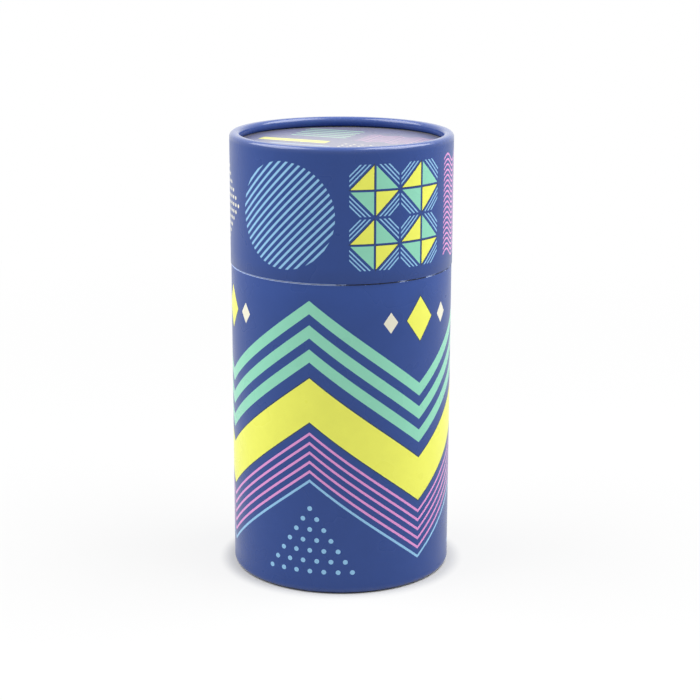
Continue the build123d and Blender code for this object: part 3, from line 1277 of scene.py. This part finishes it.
class GIFTTUBE_OT_neck(bpy.types.Operator):
    """Makes the neck: its board tube, its covering paper and its lining."""

    bl_idname = "gifttube.neck"
    bl_label = "Neck"

    def execute(self, context):
        inks, shape = context.scene.tube_inks, context.scene.tube_shape
        board = kept_material("wound_board", board_material, inks.board)
        cover = kept_material("neck_cover_paper", paper_material, inks.paper)
        lining = kept_material("lining_paper", paper_material, inks.paper, LINING_PITCH)
        wall, low, _ = round_size("neck_tube")
        bore, lining_low, lining_high = round_size("neck_lining")
        _, _, top = round_size("neck_wrap")
        section = [(bore, low), (wall, low), *rounded_top(bore, wall, top - paper, BOARD_ROUND, 5)]
        tube = turned_piece("neck_board_tube", section, board, shape)
        settle(tube, "box", "neck_tube")

        outer, inner = wall + paper, bore - paper
        cover_round = BOARD_ROUND + paper
        turn_in_end = top - shape.turn_in
        section = [(wall, low), (outer, low), *between((outer, low), (outer, top - cover_round), 10)]
        section += rounded_top(inner, outer, top, cover_round, RIM_STEPS)
        section += [(inner, turn_in_end), (bore, turn_in_end)]
        section += rounded_top(bore, wall, top - paper, BOARD_ROUND, RIM_STEPS)[::-1]

        def uneven_cut(angle, distance, height):
            """Moves the points of the turned-in paper's cut edge up or down a little."""
            if abs(height - turn_in_end) > 0.01 * MM:
                return distance, height
            waves = (size * math.sin(count * angle + start) for size, count, start in CUT_WAVES)
            return distance, height + sum(waves)

        wrap = turned_piece("neck_cover_paper", section, cover, shape, uneven_cut)
        settle(wrap, "box", "neck_wrap")

        lining_top = lining_high - LINING_GAP
        section = [(bore, lining_low), (bore, lining_top), (inner, lining_top)]
        section += [*between((inner, lining_top), (inner, lining_low), 12), (inner, lining_low)]
        piece = turned_piece("neck_lining_paper", section, lining, shape)
        settle(piece, "box", "neck_lining")
        return {"FINISHED"}


class GIFTTUBE_OT_linings(bpy.types.Operator):
    """Makes the lining papers of the lid and of the floor of the box."""

    bl_idname = "gifttube.linings"
    bl_label = "Linings"

    def execute(self, context):
        inks, shape = context.scene.tube_inks, context.scene.tube_shape
        lining = kept_material("lining_paper", paper_material, inks.paper, LINING_PITCH)
        plain = kept_material("neck_cover_paper", paper_material, inks.paper)
        outer, low, high = round_size("lid_lining")
        inner = outer - paper
        section = [(inner, low), (outer, low), (outer, high), (inner, high)]
        section += between((inner, high), (inner, low), 6)
        tube = turned_piece("lid_lining_paper", section, lining, shape)
        settle(tube, "lid", "lid_lining")
        for name, body, node in (
            ("base_lining_sheet", "box", "base_lining"),
            ("lid_disc_lining_sheet", "lid", "lid_disc_lining"),
        ):
            radius, low, high = round_size(node)
            section = [(0, low), *between((0, low), (radius, low), 8), (radius, low)]
            section += [(radius, high), *between((radius, high), (0, high), 8), (0, high)]
            settle(turned_piece(name, section, plain, shape), body, node)
        return {"FINISHED"}


class GIFTTUBE_OT_stage(bpy.types.Operator):
    """Makes the floor, the lamps, the room light and the camera."""

    bl_idname = "gifttube.stage"
    bl_label = "Stage"

    def execute(self, context):
        stage = context.scene.tube_stage
        make_floor()
        make_room(stage)
        make_lamp("left_softbox", -stage.side_turn, stage.left_tilt, stage.left_power, stage)
        make_lamp("right_softbox", stage.side_turn, stage.right_tilt, stage.right_power, stage)
        make_camera(stage)
        return {"FINISHED"}


# The stage


def mixed_shaders(tree, share, first, second, output):
    """Gives a tree its output node, with a mix of two shaders."""
    made = add_node(tree, "ShaderNodeMixShader", {0: share, 1: first.outputs[0], 2: second.outputs[0]})
    add_node(tree, output, {"Surface": made.outputs["Shader"]})


def background_rays(tree):
    """1 for the rays that see the background: the camera's, and those that metal and glass send on."""
    path = add_node(tree, "ShaderNodeLightPath").outputs
    seen = maths(tree, "MAXIMUM", path["Is Camera Ray"], path["Is Glossy Ray"])
    return maths(tree, "MAXIMUM", seen, path["Is Transmission Ray"])


def floor_material(tree):
    """A plain pale floor that shows white to the camera and keeps the object's shadow."""
    matt = add_node(tree, "ShaderNodeBsdfDiffuse", {"Color": (0.5, 0.5, 0.5, 1)})
    glow = add_node(tree, "ShaderNodeEmission", {"Color": (1, 1, 1, 1), "Strength": 1.0})
    away = add_node(tree, "ShaderNodeVectorMath", {0: object_place(tree)}, operation="LENGTH")
    distance = away.outputs["Value"]
    shade_reach, glow_reach = body_radius + 7.0 * MM, 0.6
    foot = remap(tree, distance, (body_radius, shade_reach), (0.0, 0.8))
    open_floor = remap(tree, distance, (body_radius, glow_reach), (0.0, 0.2))
    share = times(tree, background_rays(tree), plus(tree, foot, open_floor))
    mixed_shaders(tree, share, matt, glow, "ShaderNodeOutputMaterial")


def make_floor():
    """The floor, a large square."""
    half = 6.0  # half of its side, in metres
    data = bpy.data.meshes.new("floor")
    corners = [(-half, -half, 0), (half, -half, 0), (half, half, 0), (-half, half, 0)]
    data.from_pydata(corners, [], [(0, 1, 2, 3)])
    data.materials.append(kept_material("floor_white", floor_material))
    linked("floor", data)


def make_room(stage):
    """A room that looks white and lights the object softly from all round."""
    world = bpy.data.worlds.new("room")
    bpy.context.scene.world = world
    world.use_nodes = True
    tree = world.node_tree
    tree.nodes.clear()
    white = (1, 1, 1, 1)
    soft = add_node(tree, "ShaderNodeBackground", {"Color": white, "Strength": stage.sky_level})
    shown = add_node(tree, "ShaderNodeBackground", {"Color": white, "Strength": 1.0})
    mixed_shaders(tree, background_rays(tree), soft, shown, "ShaderNodeOutputWorld")


def direction(turn, tilt):
    """The direction at a turn to the right from the front of the box and a tilt above it."""
    return Vector((math.sin(turn) * math.cos(tilt), -math.cos(turn) * math.cos(tilt), math.sin(tilt)))


def make_lamp(name, turn, tilt, power, stage):
    """A soft square lamp that faces the middle of the box."""
    data = bpy.data.lights.new(name, "AREA")
    data.shape = "SQUARE"
    data.size = stage.side_size
    data.energy = power
    away = direction(turn, tilt)
    lamp = linked(name, data)
    lamp.location = Vector((0, 0, crown / 2)) + away * stage.side_distance
    lamp.rotation_euler = (-away).to_track_quat("-Z", "Y").to_euler()


def make_camera(stage):
    """The camera at the photograph's angle."""
    data = bpy.data.cameras.new("camera")
    data.lens = stage.camera_lens
    data.sensor_width = 36.0
    data.clip_start = 0.01
    camera = linked("camera", data)
    camera.location = (0, -stage.camera_distance, stage.camera_height)
    forward = -direction(-stage.camera_yaw, stage.camera_pitch)
    level = forward.to_track_quat("-Z", "Y").to_matrix().to_4x4()
    camera.rotation_euler = (level @ Matrix.Rotation(stage.camera_roll, 4, "Z")).to_euler()
    bpy.context.scene.camera = camera


class GIFTTUBE_PT_box(bpy.types.Panel):
    """Lists the steps that make the gift tube box, and their settings."""

    bl_idname = "GIFTTUBE_PT_box"
    bl_label = "Gift Tube Box"
    bl_space_type = "VIEW_3D"
    bl_region_type = "UI"
    bl_category = "Gift Tube"

    def draw(self, context):
        for operator in OPERATORS:
            self.layout.operator(operator.bl_idname)
        for settings in SETTINGS:
            group = getattr(context.scene, settings)
            column = self.layout.column(align=True)
            for key in group.bl_rna.properties.keys():
                if key not in ("rna_type", "name"):
                    column.prop(group, key)


SETTINGS = {
    "tube_shape": TubeShape,
    "tube_inks": TubeInks,
    "tube_print": TubePrint,
    "tube_stage": TubeStage,
}
OPERATORS = (
    GIFTTUBE_OT_stage,
    GIFTTUBE_OT_body_sheet,
    GIFTTUBE_OT_lid_sheet,
    GIFTTUBE_OT_disc_sheets,
    GIFTTUBE_OT_boards,
    GIFTTUBE_OT_neck,
    GIFTTUBE_OT_linings,
)


def register():
    """Registers the settings, the operators and the panel."""
    for name, settings in SETTINGS.items():
        bpy.utils.register_class(settings)
        setattr(bpy.types.Scene, name, PointerProperty(type=settings))
    for shown in (*OPERATORS, GIFTTUBE_PT_box):
        bpy.utils.register_class(shown)


def unregister():
    """Removes what register added."""
    for shown in (GIFTTUBE_PT_box, *reversed(OPERATORS)):
        bpy.utils.unregister_class(shown)
    for name, settings in SETTINGS.items():
        delattr(bpy.types.Scene, name)
        bpy.utils.unregister_class(settings)


def main():
    """Makes every piece and the stage."""
    register()
    bpy.context.scene.view_settings.view_transform = "Standard"
    bpy.ops.gifttube.stage()
    bpy.ops.gifttube.body_sheet()
    bpy.ops.gifttube.lid_sheet()
    bpy.ops.gifttube.disc_sheets()
    bpy.ops.gifttube.boards()
    bpy.ops.gifttube.neck()
    bpy.ops.gifttube.linings()


if __name__ == "__main__":
    main()
